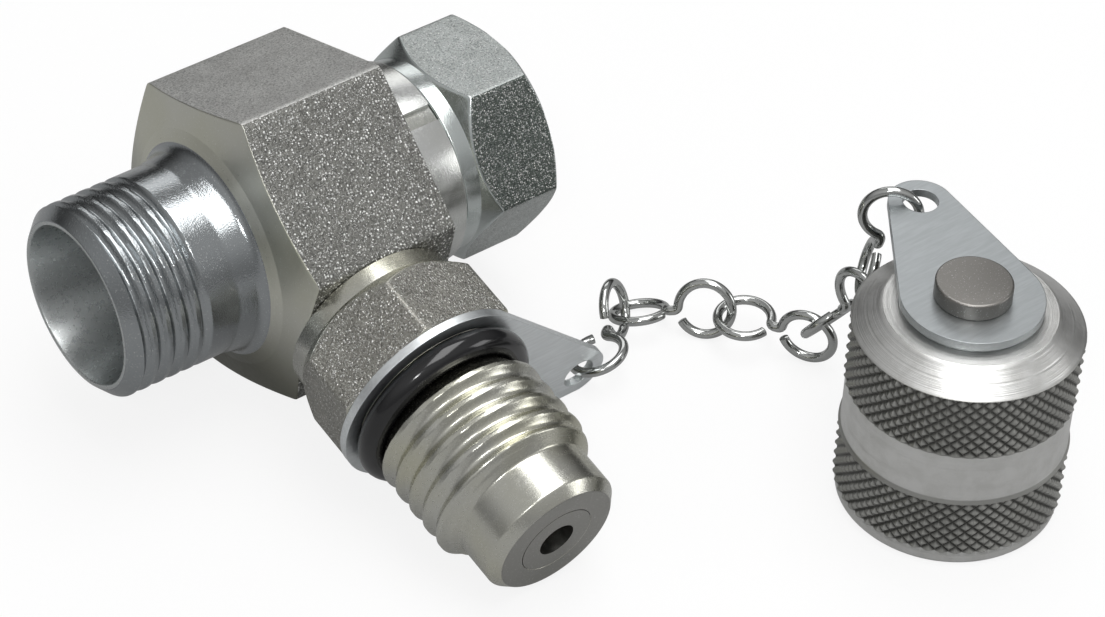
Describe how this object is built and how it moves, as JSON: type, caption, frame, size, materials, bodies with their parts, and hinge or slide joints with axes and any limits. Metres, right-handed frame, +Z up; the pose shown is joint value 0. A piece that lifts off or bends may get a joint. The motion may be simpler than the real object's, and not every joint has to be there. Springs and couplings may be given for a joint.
{
  "type": "test point coupling",
  "caption": "Hydraulic in-line test point: hexagonal body with tube stud and swivel nut, a screw-in test stud with check valve, and its knurled dust cap on a chain.",
  "frame": {"origin": "where the test stud's axis crosses the main bore's axis", "axes": "+X along the main bore and out of the tube stud, +Z up, the coupling lying on a flat surface with the test stud towards +Y"},
  "size_m": [0.0689, 0.0749, 0.0305],
  "materials": {
    "zinc_steel": "zinc plated, satin",
    "plain_steel": "turned",
    "spring_steel": "bright",
    "strap_zinc": "zinc plated sheet",
    "chain_nickel": "nickel plated wire",
    "nitrile": "soft black"
  },
  "bodies": {
    "coupling": {"body": "zinc_steel", "cone_o_ring": "nitrile", "nut_wire": "spring_steel", "split_ring": "spring_steel", "test_stud": "zinc_steel", "port_o_ring": "nitrile", "dust_o_ring": "nitrile", "valve_insert": "plain_steel", "valve_spring": "spring_steel"},
    "nut": {"swivel_nut": "zinc_steel"},
    "poppet": {"valve_poppet": "plain_steel", "poppet_o_ring": "nitrile"},
    "strap": {"stud_strap": "strap_zinc"},
    "cap_strap": {"cap_strap": "strap_zinc"},
    "cap": {"cap": "zinc_steel", "cap_seal": "nitrile", "cap_washer": "strap_zinc", "cap_rivet": "plain_steel"},
    "link_1": {"chain_link_1": "chain_nickel"},
    "link_2": {"chain_link_2": "chain_nickel"},
    "link_3": {"chain_link_3": "chain_nickel"},
    "link_4": {"chain_link_4": "chain_nickel"},
    "link_5": {"chain_link_5": "chain_nickel"}
  },
  "joints": [
    {"name": "nut_spin", "type": "hinge", "parent": "coupling", "child": "nut", "pos_m": [-0.0163, 0, 0], "axis": [1, 0, 0], "continuous": true},
    {"name": "poppet_slide", "type": "slide", "parent": "coupling", "child": "poppet", "axis": [0, -0.9773, 0.2119], "range_m": [0, 0.002], "stiffness_N_per_m": 800, "springref_m": -0.003, "deforming": ["valve_spring"]},
    {"name": "strap_swivel", "type": "hinge", "parent": "coupling", "child": "strap", "pos_m": [0, 0.0225, -0.00488], "axis": [0, 0.9773, -0.2119], "range_deg": [-10, 15]},
    {"name": "link_1_hinge", "type": "hinge", "parent": "strap", "child": "link_1", "pos_m": [-0.01973, 0.02079, -0.01273], "axis": [0.1045, -0.2107, -0.9719], "range_deg": [-15, 15]},
    {"name": "link_2_hinge", "type": "hinge", "parent": "link_1", "child": "link_2", "pos_m": [-0.0274, 0.01584, -0.01405], "axis": [-0.4185, -0.6221, 0.6617], "range_deg": [-15, 15]},
    {"name": "link_3_hinge", "type": "hinge", "parent": "link_2", "child": "link_3", "pos_m": [-0.03412, 0.02298, -0.01249], "axis": [0.2757, 0.1827, -0.9437], "range_deg": [-15, 15]},
    {"name": "link_4_hinge", "type": "hinge", "parent": "link_3", "child": "link_4", "pos_m": [-0.03817, 0.03078, -0.0101], "axis": [-0.4254, 0.7445, -0.5146], "range_deg": [-15, 15]},
    {"name": "link_5_hinge", "type": "hinge", "parent": "link_4", "child": "link_5", "pos_m": [-0.03811, 0.0354, -0.00145], "axis": [-0.0691, 0.9873, -0.1428], "range_deg": [-15, 15]},
    {"name": "cap_strap_hinge", "type": "hinge", "parent": "link_5", "child": "cap_strap", "pos_m": [-0.04003, 0.03667, 0.00828], "axis": [0.7314, -0.6427, 0.2281], "range_deg": [-8, 15]},
    {"name": "cap_spin", "type": "hinge", "parent": "cap_strap", "child": "cap", "pos_m": [-0.03672, 0.04988, 0.00597], "axis": [0, 0, 1], "continuous": true}
  ]
}
